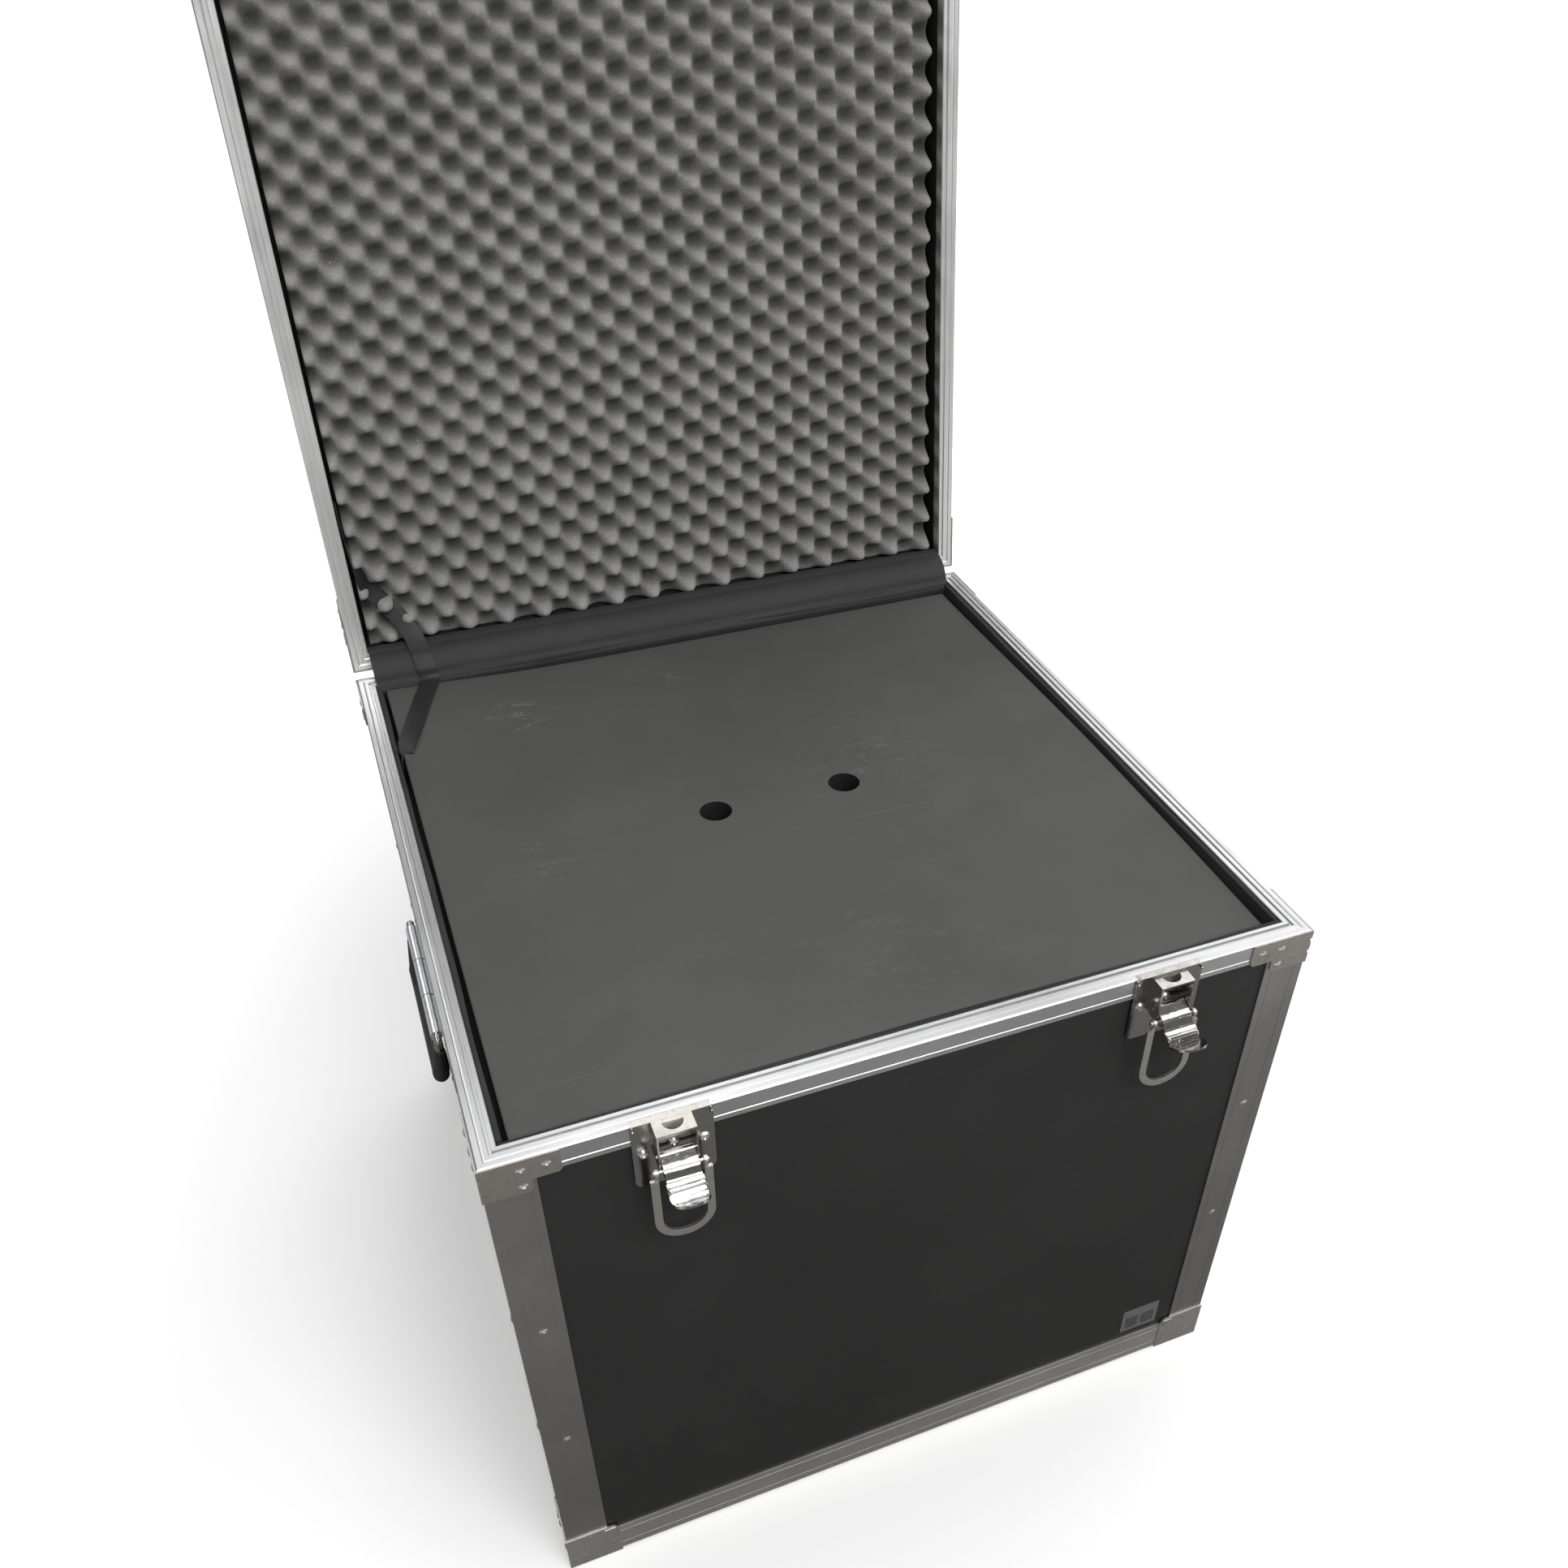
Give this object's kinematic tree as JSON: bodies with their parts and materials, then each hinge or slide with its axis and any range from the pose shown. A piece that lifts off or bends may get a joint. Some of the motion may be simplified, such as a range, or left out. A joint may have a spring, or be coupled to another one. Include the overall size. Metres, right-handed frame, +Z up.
{
  "type": "flight case trunk",
  "caption": "Square trunk of black laminated panels in aluminium extrusions with a hinged lid, draw latches, drop handles and a lift-out foam pad.",
  "frame": {"origin": "on the ground, under the middle of the open case's bounding box; the centre of the base's underside is at y = -47.855 mm", "axes": "+X to the right seen from the front, +Y from the latches towards the hinges, +Z up"},
  "size_m": [0.629, 0.7904, 1.1191],
  "materials": {
    "laminate": "matte black laminate on plywood",
    "aluminium": "satin, extruded",
    "bright_aluminium": "satin, extruded, bright",
    "stamped_steel": "satin plated",
    "rivet_steel": "bright plated",
    "zinc_steel": "satin plated",
    "chrome": "bright chrome plate",
    "lining_foam": "smooth dark closed-cell foam",
    "pad_foam": "smooth grey closed-cell foam with light scuffs",
    "egg_crate_foam": "open-cell grey foam, egg-crate face",
    "label": "blank foil label",
    "black_grip": "smooth moulded grip",
    "webbing": "woven webbing",
    "flap_cloth": "coated cloth"
  },
  "bodies": {
    "base": {"base_front_panel": "laminate", "base_back_panel": "laminate", "base_left_panel": "laminate", "base_right_panel": "laminate", "base_floor_panel": "laminate", "base_rim_rails": "bright_aluminium", "base_corner_edges": "aluminium", "base_bottom_edges": "aluminium", "base_rim_brackets": "stamped_steel", "base_corner_caps": "stamped_steel", "base_rivets": "rivet_steel", "base_wall_lining": "lining_foam", "base_floor_lining": "lining_foam", "pad_ledge": "lining_foam", "label_plate": "label", "left_latch_plate": "chrome", "right_latch_plate": "chrome", "latch_screws": "rivet_steel", "latch_pivot_pins": "chrome", "left_handle_plate": "chrome", "right_handle_plate": "chrome", "left_handle_barrels": "chrome", "right_handle_barrels": "chrome", "handle_rivets": "rivet_steel", "base_hinge_leaves": "zinc_steel", "hinge_pins": "zinc_steel", "hinge_rivets": "rivet_steel", "base_strap_end": "webbing", "base_flap_strip": "flap_cloth"},
    "lid": {"lid_top_panel": "laminate", "lid_front_panel": "laminate", "lid_back_panel": "laminate", "lid_left_panel": "laminate", "lid_right_panel": "laminate", "lid_rim_rails": "bright_aluminium", "lid_corner_edges": "aluminium", "lid_top_edges": "aluminium", "lid_rim_brackets": "stamped_steel", "lid_corner_caps": "stamped_steel", "lid_rivets": "rivet_steel", "egg_crate_foam": "egg_crate_foam", "left_catch": "chrome", "right_catch": "chrome", "catch_screws": "rivet_steel", "lid_hinge_leaves": "zinc_steel", "lid_hinge_rivets": "rivet_steel", "lid_strap_end": "webbing", "lid_flap_strip": "flap_cloth"},
    "pad": {"lift_out_pad": "pad_foam"},
    "left_lever": {"left_latch_lever": "chrome"},
    "right_lever": {"right_latch_lever": "chrome"},
    "left_pin": {"left_loop_pin": "chrome"},
    "right_pin": {"right_loop_pin": "chrome"},
    "left_loop": {"left_pull_loop": "chrome"},
    "right_loop": {"right_pull_loop": "chrome"},
    "left_handle": {"left_handle_bail": "chrome", "left_handle_grip": "black_grip"},
    "right_handle": {"right_handle_bail": "chrome", "right_handle_grip": "black_grip"}
  },
  "joints": [
    {"name": "lid_hinge", "type": "hinge", "parent": "base", "child": "lid", "pos_m": [0, 0.25715, 0.51015], "axis": [-1, 0, 0], "range_deg": [-96, 0]},
    {"name": "pad_lift", "type": "slide", "parent": "base", "child": "pad", "axis": [0, 0, 1], "range_m": [0, 0.08]},
    {"name": "left_lever_swing", "type": "hinge", "parent": "base", "child": "left_lever", "pos_m": [-0.18, -0.35465, 0.483], "axis": [-1, 0, 0], "range_deg": [-62, 50]},
    {"name": "left_pin_turn", "type": "hinge", "parent": "left_lever", "child": "left_pin", "pos_m": [-0.18, -0.36248, 0.4777], "axis": [1, 0, 0], "range_deg": [-62, 50]},
    {"name": "left_loop_swing", "type": "hinge", "parent": "left_pin", "child": "left_loop", "pos_m": [-0.18, -0.36248, 0.4777], "axis": [1, 0, 0], "range_deg": [-180, 0]},
    {"name": "left_handle_swing", "type": "hinge", "parent": "base", "child": "left_handle", "pos_m": [-0.3046, -0.04785, 0.402], "axis": [0, 1, 0], "range_deg": [0, 95]},
    {"name": "right_lever_swing", "type": "hinge", "parent": "base", "child": "right_lever", "pos_m": [0.18, -0.35465, 0.483], "axis": [-1, 0, 0], "range_deg": [-62, 50]},
    {"name": "right_pin_turn", "type": "hinge", "parent": "right_lever", "child": "right_pin", "pos_m": [0.18, -0.36248, 0.4777], "axis": [1, 0, 0], "range_deg": [-62, 50]},
    {"name": "right_loop_swing", "type": "hinge", "parent": "right_pin", "child": "right_loop", "pos_m": [0.18, -0.36248, 0.4777], "axis": [1, 0, 0], "range_deg": [-180, 0]},
    {"name": "right_handle_swing", "type": "hinge", "parent": "base", "child": "right_handle", "pos_m": [0.3046, -0.04785, 0.402], "axis": [0, -1, 0], "range_deg": [0, 95]}
  ],
  "couplings": [
    {"joint": "left_pin_turn", "follows": "left_lever_swing", "ratio": 1},
    {"joint": "right_pin_turn", "follows": "right_lever_swing", "ratio": 1}
  ]
}
